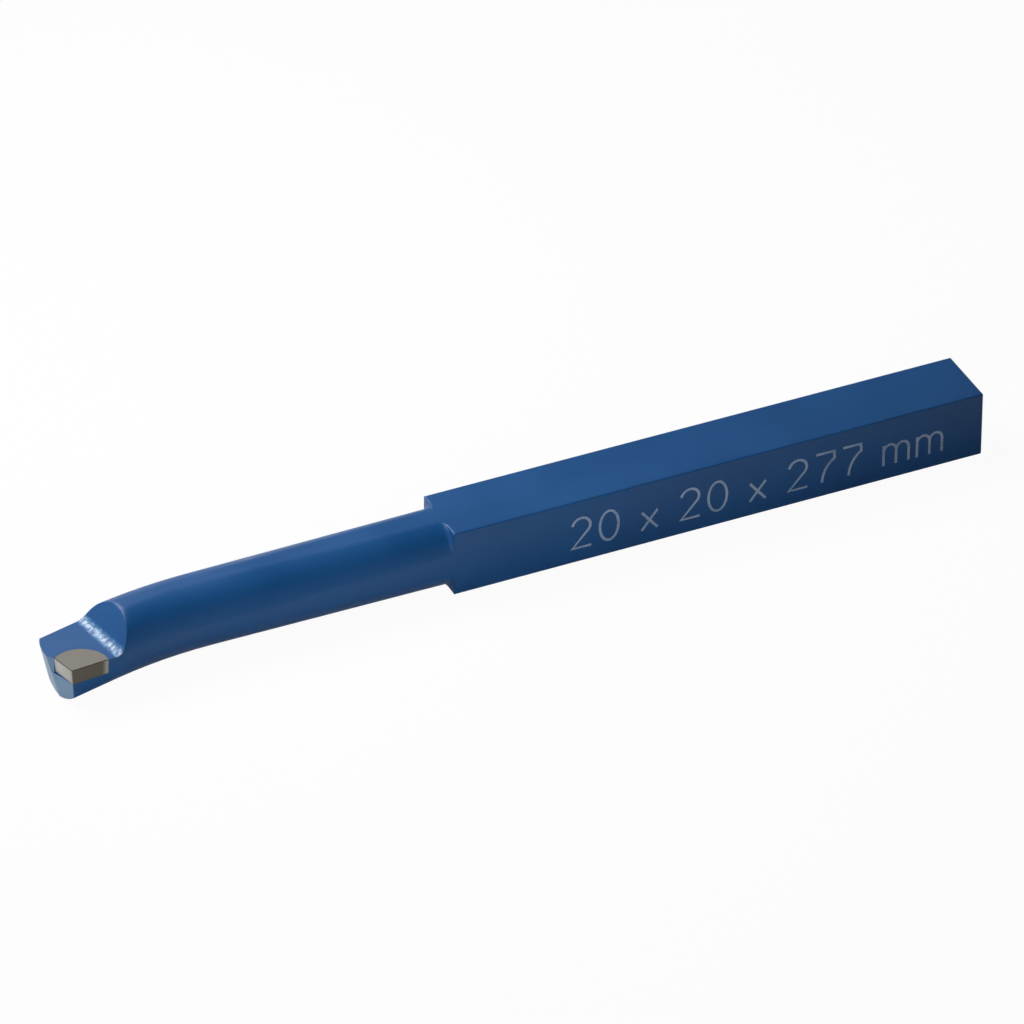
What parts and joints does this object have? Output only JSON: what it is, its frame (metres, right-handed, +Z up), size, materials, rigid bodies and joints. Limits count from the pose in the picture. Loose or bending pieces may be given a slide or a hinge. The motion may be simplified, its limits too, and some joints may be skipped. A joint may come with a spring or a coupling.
{
  "type": "boring bar",
  "caption": "Right-hand internal turning tool: square shank, round cranked neck and a flat-topped head with a brazed carbide tip.",
  "frame": {"origin": "centre of the shank's bottom face, the seat that lies in the tool post", "axes": "+X along the shank away from the cutting end, +Y away from the cutting side, +Z up; the rake face looks up and the tip points to -X and -Y"},
  "size_m": [0.277, 0.0247, 0.02],
  "materials": {
    "blue_enamel": "satin blue enamel over steel",
    "ground_carbide": "ground and honed cemented carbide",
    "braze": "solidified brazing filler"
  },
  "bodies": {
    "root": {"bar": "blue_enamel", "carbide_tip": "ground_carbide", "braze_layer": "braze"}
  },
  "joints": []
}
